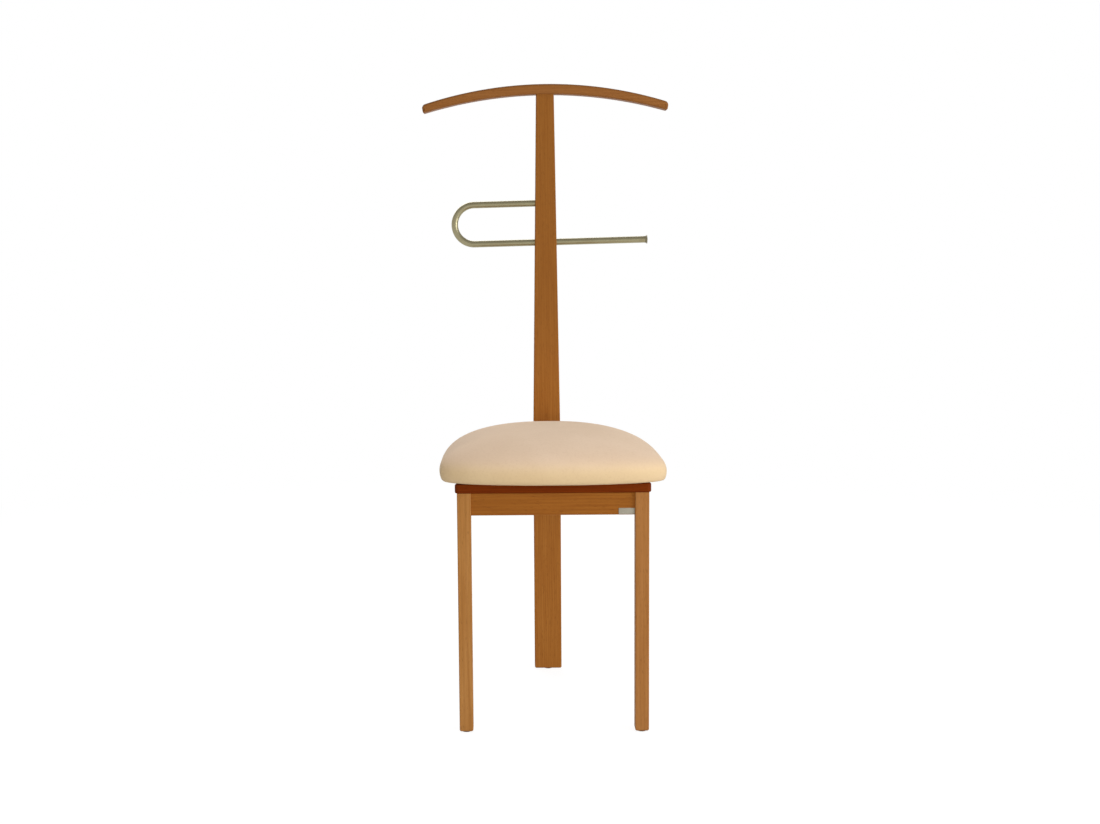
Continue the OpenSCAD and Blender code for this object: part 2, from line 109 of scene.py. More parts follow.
def finishMaterial(tree, shader):
    addNode(tree, "ShaderNodeOutputMaterial", inputs={"Surface": shader.outputs[0]})


def objectPlace(tree):
    return addNode(tree, "ShaderNodeTexCoord").outputs["Object"]


def mapped(tree, vector, **inputs):
    return addNode(tree, "ShaderNodeMapping", inputs={"Vector": vector, **inputs}).outputs[0]


def heightOf(tree, vector):
    return addNode(tree, "ShaderNodeSeparateXYZ", inputs={0: vector}).outputs["Z"]


def lengthOf(tree, vector):
    return addNode(tree, "ShaderNodeVectorMath", {"operation": "LENGTH"}, {0: vector}).outputs["Value"]


def noiseOn(tree, vector, scale, detail, roughness, distortion=0.0):
    node = addNode(tree, "ShaderNodeTexNoise", inputs={
        "Vector": vector, "Scale": scale, "Detail": detail, "Roughness": roughness,
        "Distortion": distortion})
    return node.outputs["Fac"]


noiseSpan = (0.3, 0.7)  # between these lie most values of a noise


def rangeOf(tree, value, low, high, toLow=0.0, toHigh=1.0):
    node = addNode(tree, "ShaderNodeMapRange", {"interpolation_type": "SMOOTHSTEP"}, {
        "Value": value, "From Min": low, "From Max": high, "To Min": toLow, "To Max": toHigh})
    return node.outputs["Result"]


def mathOf(tree, operation, first, second):
    return addNode(tree, "ShaderNodeMath", {"operation": operation}, {0: first, 1: second}).outputs[0]


def mixColour(tree, factor, first, second, blend="MIX"):
    node = addNode(tree, "ShaderNodeMix", {"data_type": "RGBA", "blend_type": blend}, {"Factor": factor})
    for index, value in ((6, first), (7, second)):  # the colour sockets of the Mix node
        if isinstance(value, bpy.types.NodeSocket):
            tree.links.new(value, node.inputs[index])
        else:
            node.inputs[index].default_value = value
    return node.outputs[2]


def bumpOf(tree, height, strength, depth):
    return addNode(tree, "ShaderNodeBump", inputs={
        "Height": height, "Strength": strength, "Distance": depth}).outputs[0]


def grey(level):
    return (level, level, level, 1.0)


def rgb(red, green, blue):
    # from screen values of 0 to 255 to the linear colour of a shader
    def linear(value):
        value /= 255.0
        return value / 12.92 if value <= 0.04045 else ((value + 0.055) / 1.055) ** 2.4
    return (linear(red), linear(green), linear(blue), 1.0)


def dress(names, material):
    for name in names:
        slots = nodes[name].data.materials
        slots.clear()
        slots.append(material)


# wood
stainedBeech = {
    "light": rgb(176, 116, 48),
    "middle": rgb(158, 98, 34),
    "dark": rgb(126, 70, 18),
    "fleck": rgb(98, 52, 14),
    "ringStep": 0.0042,  # metres from one growth ring to the next
    "ringShade": 0.17,
    "streakRange": (0.2, 0.8),
    "paintedPaleRange": (0.25, 0.75),  # heights between which the post's painted light turns from paler at the foot, in the seat's shade, to darker at the top
    "paintedShadeDepth": 0.0046,  # of the painted shade along the hanger's upper edge, where little light falls
    "paintedShadeShare": 0.6,
    "roughness": (0.42, 0.55),
    "shine": 0.14,
}
boardStain = {
    "light": rgb(128, 54, 9),
    "middle": rgb(112, 44, 8),
    "dark": rgb(83, 30, 5),
    "fleck": rgb(57, 19, 3),
    "ringStep": 0.003,
    "ringShade": 0.28,
    "streakRange": (0.3, 0.7),
    "roughness": (0.46, 0.6),
    "shine": 0.04,
}
rawWood = {
    "light": rgb(222, 188, 140),
    "middle": rgb(208, 170, 122),
    "dark": rgb(182, 140, 94),
    "fleck": rgb(150, 108, 70),
    "ringStep": 0.0025,
    "ringShade": 0.28,
    "streakRange": (0.3, 0.7),
    "roughness": (0.6, 0.75),
    "shine": 0.2,
}
grainPattern = {
    # turns that lay the pattern's Z axis along the grain
    "turns": {"x": (0.0, math.radians(-90), 0.0), "y": (math.radians(90), 0.0, 0.0), "z": (0.0, 0.0, 0.0)},
    "seedStep": (0.31, -0.17, 0.57),  # where in the pattern a seed of 1 cuts the piece
    # squeeze along the grain, then scale, detail, roughness and distortion of the noise
    "layers": {
        "slow": (0.18, 9.0, 3.0, 0.5, 0.0),
        "streaks": (0.035, 210.0, 5.0, 0.6, 0.3),
        "fibres": (0.02, 1300.0, 3.0, 0.6, 0.0),
        "flecks": (0.12, 900.0, 2.0, 0.4, 0.0),
        "ringWarp": (0.12, 14.0, 2.0, 0.5, 0.0),
    },
    "ringSqueeze": 0.03,
    "ringWander": 26.0,
    "ringRange": (-0.2, 1.0),
    # the layers that shade the ground colour: from and to, their share and their colour
    "shades": {
        "fibres": (0.4, 0.75, 0.22, "dark"),
        "slow": (0.35, 0.7, 0.35, "middle"),
        "flecks": (0.62, 0.7, 0.3, "fleck"),
    },
    "fleckPits": -0.6,
    "bump": 0.12,
    "bumpDepth": 0.0003,
}


def woodMaterial(name, stain, cut):
    # cut says how the piece lies in the wood: its grain axis, its seed and its own tone
    pattern = grainPattern
    material, tree = newMaterial(name)
    place = objectPlace(tree)
    if "swing" in cut:
        place = mapped(tree, place, Rotation=(0.0, 0.0, math.radians(cut["swing"])))
    turned = mapped(tree, place, Rotation=pattern["turns"][cut["axis"]],
                    Location=[step * cut["seed"] for step in pattern["seedStep"]])

    def along(squeeze):
        return mapped(tree, turned, Scale=(1.0, 1.0, squeeze))

    noises = {}
    for layer, (squeeze, *noise) in pattern["layers"].items():
        noises[layer] = noiseOn(tree, along(squeeze), *noise)
    radius = lengthOf(tree, along(pattern["ringSqueeze"]))
    turnsOut = mathOf(tree, "MULTIPLY", radius, 2 * math.pi / stain["ringStep"])
    wander = mathOf(tree, "MULTIPLY", noises["ringWarp"], pattern["ringWander"])
    rings = mathOf(tree, "SINE", mathOf(tree, "ADD", turnsOut, wander), 0.0)
    ringTone = rangeOf(tree, rings, *pattern["ringRange"])

    colour = mixColour(tree, rangeOf(tree, noises["streaks"], *stain["streakRange"]),
                       stain["middle"], stain["light"])
    colour = mixColour(tree, rangeOf(tree, ringTone, 0.0, 1.0, 0.0, stain["ringShade"]),
                       colour, stain["dark"])
    for layer, (low, high, share, shade) in pattern["shades"].items():
        colour = mixColour(tree, rangeOf(tree, noises[layer], low, high, 0.0, share), colour, stain[shade])
    colour = mixColour(tree, 1.0, colour, (*cut.get("tone", (1.0, 1.0, 1.0)), 1.0), "MULTIPLY")
    # painted light and shade: the piece is painted paler towards its foot, where the seat shades it, and
    # darker towards its top
    if "paintedPaleFoot" in cut:
        paintedPaler = rangeOf(tree, heightOf(tree, place), *stain["paintedPaleRange"],
                        1.0 + cut["paintedPaleFoot"], 1.0 - cut["paintedPaleFoot"])
        colour = mixColour(tree, 1.0, colour, paintedPaler, "MULTIPLY")
    # painted shade: a darker band along the upper edge of the hanger's bow, where little light falls from
    # above
    if "bowRadius" in cut:
        fromCentre = mapped(tree, place, Scale=(1.0, 0.0, 1.0),
                            Location=(0.0, 0.0, cut["bowRadius"] - cut["bowTop"]))
        rim = rangeOf(tree, lengthOf(tree, fromCentre), cut["bowRadius"] - stain["paintedShadeDepth"],
                      cut["bowRadius"], 1.0, stain["paintedShadeShare"])
        colour = mixColour(tree, 1.0, colour, rim, "MULTIPLY")
    pits = mathOf(tree, "MULTIPLY", noises["flecks"], pattern["fleckPits"])
    bump = bumpOf(tree, mathOf(tree, "ADD", noises["fibres"], pits), pattern["bump"], pattern["bumpDepth"])
    shader = addNode(tree, "ShaderNodeBsdfPrincipled", inputs={
        "Base Color": colour,
        "Roughness": rangeOf(tree, noises["streaks"], *noiseSpan, *stain["roughness"]),
        "Specular IOR Level": stain["shine"], "Normal": bump})
    finishMaterial(tree, shader)
    return material


sideRailSwing = 13.0  # degrees between a side rail and the Y axis
railTone = (0.85, 0.82, 0.8)
stainedCuts = {
    "left_front_leg": {"axis": "z", "seed": 1.0, "tone": (1.24, 1.46, 2.60)},
    "right_front_leg": {"axis": "z", "seed": 2.3, "tone": (1.17, 1.32, 2.46)},
    # the rear post is painted paler at its foot, in the seat's shade, and darker at its top
    "rear_post": {"axis": "z", "seed": 3.1, "tone": (0.99, 0.965, 1.06), "paintedPaleFoot": 0.14},
    "front_rail": {"axis": "x", "seed": 4.4, "tone": (0.93, 0.83, 0.68)},
    "rear_rail": {"axis": "x", "seed": 5.2, "tone": railTone},
    "left_side_rail": {"axis": "y", "seed": 7.9, "tone": railTone, "swing": sideRailSwing},
    "right_side_rail": {"axis": "y", "seed": 8.6, "tone": railTone, "swing": -sideRailSwing},
}
boardCut = {"axis": "x", "seed": 9.3}
rawCuts = {
    "corner_blocks": {"nodes": ["left_corner_block", "right_corner_block"], "axis": "y", "seed": 2.1},
    "rail_dowels": {"nodes": ["rail_dowels"], "axis": "x", "seed": 5.7},
    "hanger_dowels": {"nodes": ["hanger_dowels"], "axis": "z", "seed": 6.1},
    "cushion_base": {"nodes": ["cushion_base"], "axis": "y", "seed": 3.3},
}


def dressWood():
    for name, cut in stainedCuts.items():
        dress([name], woodMaterial("wood_" + name, stainedBeech, cut))
    dress(["seat_board"], woodMaterial("wood_seat_board", boardStain, boardCut))
    for name, cut in rawCuts.items():
        dress(cut["nodes"], woodMaterial("wood_" + name, rawWood, cut))
    print("wood dressed")


dressWood()

# metal
metalLooks = {
    "satin_tube": {"light": rgb(157, 150, 119), "dark": rgb(152, 143, 112), "roughness": (0.27, 0.3),
                   "axis": "x", "metallic": 0.85, "scratch": 0.015},
    "end_cap": {"light": rgb(150, 143, 118), "dark": rgb(136, 129, 104), "roughness": (0.4, 0.5),
                "axis": "z", "metallic": 0.6, "scratch": 0.06},
    "zinc_steel": {"light": rgb(206, 206, 200), "dark": rgb(168, 168, 164), "roughness": (0.3, 0.45),
                   "axis": "y", "metallic": 1.0, "scratch": 0.06},
    "bare_plate": {"light": rgb(169, 163, 148), "dark": rgb(159, 153, 138), "roughness": (0.4, 0.55),
                   "axis": "x", "metallic": 0.5, "scratch": 0.06},
}
metalPattern = {
    "squeeze": 0.04,  # of the fine lines along the axis of each look
    "lines": (1400.0, 3.0, 0.6),
    "clouds": (45.0, 3.0, 0.5),
    "scratchDepth": 0.0001,
}


def metalMaterial(name):
    look = metalLooks[name]
    material, tree = newMaterial(name)
    place = objectPlace(tree)
    drawn = mapped(tree, place, Scale=[
        metalPattern["squeeze"] if axis == look["axis"] else 1.0 for axis in "xyz"])
    lines = noiseOn(tree, drawn, *metalPattern["lines"])
    clouds = noiseOn(tree, place, *metalPattern["clouds"])
    colour = mixColour(tree, rangeOf(tree, clouds, *noiseSpan), look["dark"], look["light"])
    bump = bumpOf(tree, lines, look["scratch"], metalPattern["scratchDepth"])
    shader = addNode(tree, "ShaderNodeBsdfPrincipled", inputs={
        "Base Color": colour, "Metallic": look["metallic"],
        "Roughness": rangeOf(tree, lines, *noiseSpan, *look["roughness"]), "Normal": bump})
    finishMaterial(tree, shader)
    return material


# glides and dust cloth
plainLooks = {
    "glide_plastic": {"dark": rgb(66, 44, 30), "light": rgb(84, 58, 40), "grain": 900.0,
                      "roughness": (0.4, 0.55), "shine": 0.3},
    "dust_cloth": {"dark": rgb(26, 26, 26), "light": rgb(44, 43, 42), "grain": 1500.0,
                   "roughness": (0.85, 0.95), "shine": 0.1},
}
plainPattern = {"detail": 4.0, "roughness": 0.6, "bump": 0.15, "bumpDepth": 0.0002}


def plainMaterial(name):
    look = plainLooks[name]
    material, tree = newMaterial(name)
    specks = noiseOn(tree, objectPlace(tree), look["grain"], plainPattern["detail"],
                     plainPattern["roughness"])
    colour = mixColour(tree, rangeOf(tree, specks, *noiseSpan), look["dark"], look["light"])
    shader = addNode(tree, "ShaderNodeBsdfPrincipled", inputs={
        "Base Color": colour, "Roughness": rangeOf(tree, specks, *noiseSpan, *look["roughness"]),
        "Specular IOR Level": look["shine"],
        "Normal": bumpOf(tree, specks, plainPattern["bump"], plainPattern["bumpDepth"])})
    finishMaterial(tree, shader)
    return material


tubeMetal = metalMaterial("satin_tube")
capMetal = metalMaterial("end_cap")


def dressSmallParts():
    dress(["trouser_bar"], tubeMetal)
    dress(["trouser_bar_end_cap"], capMetal)
    dress(["corner_block_screws", "board_screws", "cushion_screws", "bar_fixing_screw", "post_bolts",
           "post_insert_nuts"], metalMaterial("zinc_steel"))
    dress(["left_front_glide", "right_front_glide", "rear_glide"], plainMaterial("glide_plastic"))
    dress(["cushion_dust_cloth"], plainMaterial("dust_cloth"))
    print("small parts dressed")


dressSmallParts()


# helpers for pieces
sharpFrom = 50  # degrees between two faces from which their edge is shaded as a sharp one


def meshOf(bm, name, material):
    mesh = bpy.data.meshes.new(name)
    bm.to_mesh(mesh)
    bm.free()
    mesh.materials.append(material)
    return mesh


def makePiece(bm, name, material, smooth=True):
    mesh = meshOf(bm, name, material)
    for face in mesh.polygons:
        face.use_smooth = smooth
    mesh.set_sharp_from_angle(angle=math.radians(sharpFrom))
    piece = addObject(name, mesh)
    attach(piece, "root")
    return piece


def bevelEdges(bm, edges, offset, segments):
    bmesh.ops.bevel(bm, geom=edges, offset=offset, segments=segments, profile=0.5, affect="EDGES",
                    material=-1)


def holdFlats(piece):
    # large faces keep their own direction beside a rounded edge
    weighted = piece.modifiers.new("flats", "WEIGHTED_NORMAL")
    weighted.mode = "FACE_AREA"
    weighted.weight = 100
    weighted.keep_sharp = True


# jacket hanger
hangerForm = {
    "height": 0.018,  # of its section in the middle
    "topRadius": 0.730,
    "lowRadius": 0.790,
    "edge": 0.0038,
    "tipTop": 0.0065,  # rounding at the upper corner of a tip
    "tipFoot": 0.003,
    "tipLean": 10,  # slant of the end faces, in degrees
    "tipCut": 0.0009,  # what the rounding takes off the width
    "slices": 44,
    "edgeSteps": 5,
    "tipFrom": 40,  # degrees between two faces from which an edge is a corner of a tip
    "edgeFrom": 60,  # degrees from which it is one of the edges left to round
    "cut": {"axis": "x", "seed": 6.7, "tone": (0.84, 0.87, 1.45)},
}


def makeHanger():
    form = hangerForm
    low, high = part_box("jacket_hanger")
    half = (high.x - low.x) / 2 + form["tipCut"]
    topRadius, lowRadius = form["topRadius"], form["lowRadius"]

    def topHeight(x):
        return high.z - topRadius + math.sqrt(topRadius ** 2 - x * x)

    def lowHeight(x):
        return high.z - form["height"] - lowRadius + math.sqrt(lowRadius ** 2 - x * x)

    # the end faces lean in, so the underside is shorter than the top
    lowShare = 1 - (topHeight(half) - lowHeight(half)) * math.tan(math.radians(form["tipLean"])) / half
    bm = bmesh.new()
    bmesh.ops.create_cube(bm, size=1.0)
    bmesh.ops.scale(bm, vec=(2 * half, high.y - low.y, 1.0), verts=bm.verts)
    bmesh.ops.translate(bm, vec=(0.0, (high.y + low.y) / 2, 0.5), verts=bm.verts)
    along = [edge for edge in bm.edges if abs(edge.verts[0].co.x - edge.verts[1].co.x) > half]
    bmesh.ops.subdivide_edges(bm, edges=along, cuts=form["slices"] - 1, use_grid_fill=True)
    for vertex in bm.verts:
        topX = vertex.co.x
        lowX = topX * lowShare
        share = vertex.co.z
        vertex.co.x = lowX + share * (topX - lowX)
        vertex.co.z = lowHeight(lowX) + share * (topHeight(topX) - lowHeight(lowX))
    for isTop, offset in ((True, form["tipTop"]), (False, form["tipFoot"])):
        bm.normal_update()
        crossing = [edge for edge in bm.edges if edge.calc_face_angle() > math.radians(form["tipFrom"])
                    and abs(edge.verts[0].co.y - edge.verts[1].co.y) > form["edge"]]
        middle = sum(edge.verts[0].co.z for edge in crossing) / len(crossing)
        chosen = [edge for edge in crossing if (edge.verts[0].co.z > middle) == isTop]
        bevelEdges(bm, chosen, offset, form["edgeSteps"])
    bm.normal_update()
    sharp = [edge for edge in bm.edges if edge.calc_face_angle() > math.radians(form["edgeFrom"])]
    bevelEdges(bm, sharp, form["edge"], form["edgeSteps"])
    # the bow's radius and top place the painted shade along the hanger's upper edge
    wood = woodMaterial("wood_hanger_bar", stainedBeech,
                        {**form["cut"], "bowRadius": topRadius, "bowTop": high.z})
    dress(["jacket_hanger"], wood)
    piece = makePiece(bm, "hanger_bar", wood)
    holdFlats(piece)
    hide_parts("jacket_hanger")
    print("hanger made")


makeHanger()

# trouser bar and its end cap
barForm = {
    "height": 0.797,  # of the lower leg where it crosses the post
    "gap": 0.071,  # between the middles of the two legs
    "tilt": 1.0,  # degrees by which the free end rises
    "blindEnd": -0.006,  # where the upper leg ends inside the post
    "wall": 0.0012,
    "sides": 40,
    "bendSteps": 40,
}
capForm = {
    "radius": 0.008,
    "length": 0.005,
    "dome": 0.0012,
    "rim": 0.0007,
    "lip": 0.0003,
    "plug": 0.012,
    "flareSteps": 7,
    "faceSteps": 6,
    "sides": 48,
    "weld": 0.00001,
}


def barFrame():
    # the lower leg's middle lies on the X axis of this frame
    low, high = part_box("trouser_bar")
    turn = Matrix.Rotation(-math.radians(barForm["tilt"]), 4, "Y")
    return Matrix.Translation((0.0, (low.y + high.y) / 2, barForm["height"])) @ turn


def makeBar():
    form = barForm
    low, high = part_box("trouser_bar")
    radius = (high.y - low.y) / 2
    bend = form["gap"] / 2
    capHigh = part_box("trouser_bar_end_cap")[1]
    freeEnd = capHigh.x / math.cos(math.radians(form["tilt"])) - capForm["length"]
    bendX = low.x + radius + bend
    bm = bmesh.new()
    start = Matrix.Translation((form["blindEnd"], 0.0, form["gap"])) @ Matrix.Rotation(math.pi / 2, 4, "Y")
    bmesh.ops.create_circle(bm, cap_ends=False, segments=form["sides"], radius=radius, matrix=start)

    def drawOn(ring, x):
        grown = bmesh.ops.extrude_edge_only(bm, edges=ring)["geom"]
        verts = [item for item in grown if isinstance(item, bmesh.types.BMVert)]
        bmesh.ops.translate(bm, vec=(x, 0.0, 0.0), verts=verts)
        return [item for item in grown if isinstance(item, bmesh.types.BMEdge)
                and item.verts[0] in verts and item.verts[1] in verts]

    ring = drawOn(list(bm.edges), bendX - form["blindEnd"])
    turned = bmesh.ops.spin(bm, geom=ring, cent=(bendX, 0.0, bend), axis=(0.0, -1.0, 0.0),
                            angle=math.pi, steps=form["bendSteps"])["geom_last"]
    drawOn([item for item in turned if isinstance(item, bmesh.types.BMEdge)], freeEnd - bendX)
    bmesh.ops.recalc_face_normals(bm, faces=bm.faces)
    bmesh.ops.solidify(bm, geom=list(bm.faces), thickness=form["wall"])
    bmesh.ops.recalc_face_normals(bm, faces=bm.faces)
    bmesh.ops.transform(bm, matrix=barFrame(), verts=bm.verts)
    piece = makePiece(bm, "bent_tube", tubeMetal)
    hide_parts("trouser_bar")
    print("trouser bar made")


def makeCap():
    form = capForm
    tubeLow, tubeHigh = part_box("trouser_bar")
    tubeRadius = (tubeHigh.y - tubeLow.y) / 2
    neck = tubeRadius + form["lip"]
    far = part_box("trouser_bar_end_cap")[1].x / math.cos(math.radians(barForm["tilt"]))
    flare = form["length"] - form["dome"] - form["rim"]
    profile = []
    for step in range(form["faceSteps"]):
        share = step / (form["faceSteps"] - 1)
        profile.append((form["radius"] * share, form["dome"] * share ** 2))
    for step in range(form["flareSteps"]):
        turn = math.pi / 2 * step / (form["flareSteps"] - 1)
        profile.append((neck + (form["radius"] - neck) * (1 - math.sin(turn)),
                        form["dome"] + form["rim"] + flare * (1 - math.cos(turn))))
    plugRadius = tubeRadius - barForm["wall"]
    profile += [(plugRadius, form["length"]), (plugRadius, form["length"] + form["plug"]),
                (0.0, form["length"] + form["plug"])]
    bm = bmesh.new()
    verts = [bm.verts.new((far - back, 0.0, out)) for out, back in profile]
    edges = [bm.edges.new(pair) for pair in zip(verts, verts[1:])]
    bmesh.ops.spin(bm, geom=verts + edges, cent=(0.0, 0.0, 0.0), axis=(1.0, 0.0, 0.0),
                   angle=2 * math.pi, steps=form["sides"], use_merge=True)
    bmesh.ops.remove_doubles(bm, verts=bm.verts, dist=form["weld"])
    bmesh.ops.recalc_face_normals(bm, faces=bm.faces)
    bmesh.ops.transform(bm, matrix=barFrame(), verts=bm.verts)
    piece = makePiece(bm, "bar_cap", capMetal)
    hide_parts("trouser_bar_end_cap")
    print("end cap made")


makeBar()
makeCap()

# cushion
cushionForm = {
    "bow": 0.055,  # from the front to the widest line
    "wideHeight": 0.020,
    "towards": 0.205,  # from the front to the point that the rings are drawn in to
    "frontPower": 2.0,
    "rearPower": 3.2,
    "crownPower": 2.28,
    "underShare": 0.955,
    "rightWideHeight": 0.017,  # the right side sits a little lower and fuller
    "rightCrownPower": 2.12,
    "rightUnderShare": 0.972,
    "rightSpread": 0.0015,
    "sideTurn": 60,  # degrees below the widest line that go into the rounding of the side
    "flatTurn": 30,  # degrees that are left for the flat underside
    "rimDroop": 0.0006,  # how far the rim hangs below the underside, round the dust cloth
    "droopShares": (0.02, 0.12),  # how far in from the rim the droop ends
    "startInset": 0.001,  # the pad swells, so it starts smaller
    "around": 120,
    "rings": 72,
    "weld": 0.0001,
    "voxel": 0.005,
    "heldTo": 0.0015,  # height above the underside up to which the cover is held
    "frames": 20,
    "cap": 0.005,  # the most that a point may move
    "fill": 0.8,
}
clothSettings = {
    "quality": 6,
    "mass": 0.3,
    "use_pressure": True,
    "uniform_pressure_force": 4.0,
    "tension_stiffness": 60,
    "compression_stiffness": 60,
    "shear_stiffness": 30,
    "bending_stiffness": 20.0,
}
microfibre = {
    "light": rgb(241, 214, 180),
    "dark": rgb(235, 207, 172),
    "shadow": rgb(217, 186, 148),
    "patches": (9.0, 3.0, 0.5, 0.3),
    "nap": (260.0, 4.0, 0.65),
    "fuzz": (2600.0, 2.0, 0.6),
    "napShade": (0.45, 0.75, 0.0, 0.25),
    "fuzzShade": (0.5, 0.8, 0.0, 0.3),
    "paintedWarmSides": (1.0, 0.99, 0.91, 1.0),  # painted light: the sides are tinted warmer and the crown cooler, as the light from above falls on the crown
    "paintedCoolCrown": (0.99, 0.98, 1.07, 1.0),
    "paintedTintRange": (0.015, 0.043),  # heights above the underside
    "napHeight": 1.5,
    "bump": 0.3,
    "bumpDepth": 0.0004,
    "roughness": (0.82, 0.95),
    "shine": 0.1,
    "sheen": 0.25,
    "sheenRoughness": 0.45,
    "sheenTint": rgb(250, 232, 205),
}


def signedPower(value, power):
    return math.copysign(abs(value) ** power, value)


def cushionPoint(angle, height, low, high):
    # angle goes round the plan, height from a right angle below the middle to one on the crown
    form = cushionForm
    inset = form["startInset"]
    front = low.y + inset
    depth = high.y - low.y - 2 * inset
    wideY = front + form["bow"]
    centreY = low.y + form["towards"]
    ahead = math.sin(angle) < 0
    power = 2 / (form["frontPower"] if ahead else form["rearPower"])
    rightness = max(0.0, math.cos(angle)) ** 2

    def towardsRight(left, right):
        return form[left] + rightness * (form[right] - form[left])

    halfWidth = (high.x - low.x) / 2 - inset + rightness * form["rightSpread"]
    planX = halfWidth * signedPower(math.cos(angle), power)
    reach = form["bow"] if ahead else depth - form["bow"]
    planY = wideY + reach * signedPower(math.sin(angle), power) - centreY
    wideZ = low.z + towardsRight("wideHeight", "rightWideHeight")
    if height >= 0:
        roundness = 2 / towardsRight("crownPower", "rightCrownPower")
        share = math.cos(height) ** roundness
        rounding = 1 - share
        z = wideZ + (high.z - inset - wideZ) * math.sin(height) ** roundness
    else:
        underShare = towardsRight("underShare", "rightUnderShare")
        sideTurn = math.radians(form["sideTurn"])
        turn = min(1.0, -height / sideTurn) * math.pi / 2
        flat = max(0.0, (-height - sideTurn) / math.radians(form["flatTurn"]))
        share = (underShare + (1 - underShare) * math.cos(turn)) * (1 - flat)
        rounding = 0.0
        fullTo, endsAt = form["droopShares"]
        droop = form["rimDroop"] * max(0.0, min(1.0, (endsAt - flat) / (endsAt - fullTo)))
        z = wideZ - (wideZ - low.z + droop) * math.sin(turn)
    ovalX = halfWidth * math.cos(angle)
    ovalY = depth / 2 * math.sin(angle)
    x = share * ((1 - rounding) * planX + rounding * ovalX)
    y = share * ((1 - rounding) * planY + rounding * ovalY) + centreY
    return Vector((x, y, z))


def fabricMaterial(underside):
    look = microfibre
    material, tree = newMaterial("cover_fabric")
    place = objectPlace(tree)
    patches = noiseOn(tree, place, *look["patches"])
    nap = noiseOn(tree, place, *look["nap"])
    fuzz = noiseOn(tree, place, *look["fuzz"])
    colour = mixColour(tree, rangeOf(tree, patches, *noiseSpan), look["dark"], look["light"])
    colour = mixColour(tree, rangeOf(tree, nap, *look["napShade"]), colour, look["shadow"])
    colour = mixColour(tree, rangeOf(tree, fuzz, *look["fuzzShade"]), colour, look["shadow"])
    # painted light: the cover is tinted warmer low on its sides and cooler on its crown
    lowest, highest = [underside + step for step in look["paintedTintRange"]]
    tint = mixColour(tree, rangeOf(tree, heightOf(tree, place), lowest, highest),
                     look["paintedWarmSides"], look["paintedCoolCrown"])
    colour = mixColour(tree, 1.0, colour, tint, "MULTIPLY")
    height = mathOf(tree, "ADD", fuzz, mathOf(tree, "MULTIPLY", nap, look["napHeight"]))
    shader = addNode(tree, "ShaderNodeBsdfPrincipled", inputs={
        "Base Color": colour, "Roughness": rangeOf(tree, nap, *noiseSpan, *look["roughness"]),
        "Specular IOR Level": look["shine"], "Sheen Weight": look["sheen"],
        "Sheen Roughness": look["sheenRoughness"], "Sheen Tint": look["sheenTint"],
        "Normal": bumpOf(tree, height, look["bump"], look["bumpDepth"])})
    finishMaterial(tree, shader)
    return material


def swellCushion(piece, heldBelow):
    # a pressed cloth that is held where it is stapled under the base, and whose travel is capped
    form = cushionForm
    mesh = piece.data
    start = [vertex.co.copy() for vertex in mesh.vertices]
    held = piece.vertex_groups.new(name="held")
    held.add([vertex.index for vertex in mesh.vertices if vertex.co.z < heldBelow], 1.0, "REPLACE")
    cloth = piece.modifiers.new("cloth", "CLOTH")
    for key, value in clothSettings.items():
        setattr(cloth.settings, key, value)
    cloth.settings.vertex_group_mass = held.name
    cloth.settings.effector_weights.gravity = 0
    cloth.point_cache.frame_start = 1
    cloth.point_cache.frame_end = form["frames"]
    for step in range(1, form["frames"] + 1):
        bpy.context.scene.frame_set(step)
    depsgraph = bpy.context.evaluated_depsgraph_get()
    swollen = [vertex.co.copy() for vertex in piece.evaluated_get(depsgraph).data.vertices]
    piece.modifiers.remove(cloth)
    for vertex, before, after in zip(mesh.vertices, start, swollen):
        travel = after - before
        if travel.length > form["cap"]:
            travel *= form["cap"] / travel.length
        vertex.co = before + travel
    bpy.context.scene.frame_set(1)
    piece.vertex_groups.remove(held)


def makeCushion():
    form = cushionForm
    low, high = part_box("cushion_cover")
    bm = bmesh.new()
    bmesh.ops.create_uvsphere(bm, u_segments=form["around"], v_segments=form["rings"], radius=1.0)
    for vertex in bm.verts:
        direction = vertex.co.normalized()
        angle = math.atan2(direction.y, direction.x)
        vertex.co = cushionPoint(angle, math.asin(max(-1.0, min(1.0, direction.z))), low, high)
    bmesh.ops.remove_doubles(bm, verts=bm.verts, dist=form["weld"])
    bmesh.ops.recalc_face_normals(bm, faces=bm.faces)
    piece = makePiece(bm, "cushion", fabricMaterial(low.z))
    bpy.context.view_layer.objects.active = piece
    remesh = piece.modifiers.new("remesh", "REMESH")
    remesh.mode = "VOXEL"
    remesh.voxel_size = form["voxel"]
    remesh.use_smooth_shade = True
    bpy.ops.object.modifier_apply(modifier=remesh.name)
    swellCushion(piece, low.z + form["heldTo"])
    smooth = piece.modifiers.new("smooth", "SUBSURF")
    smooth.levels = 1
    smooth.render_levels = 1
    bpy.ops.object.modifier_apply(modifier=smooth.name)
    for face in piece.data.polygons:
        face.use_smooth = True
    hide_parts("cushion_cover", "cushion_foam")
    print("cushion made with", len(piece.data.polygons), "faces")


makeCushion()

# bare plate on the front rail
plateForm = {
    "width": 0.026,
    "height": 0.010,
    "thickness": 0.0006,
    "gap": 0.0006,  # between the plate and the right leg
    "lift": 0.0012,  # above the rail's lower edge
    "corner": 0.0012,
    "cornerSteps": 4,
    "rimSteps": 2,
}


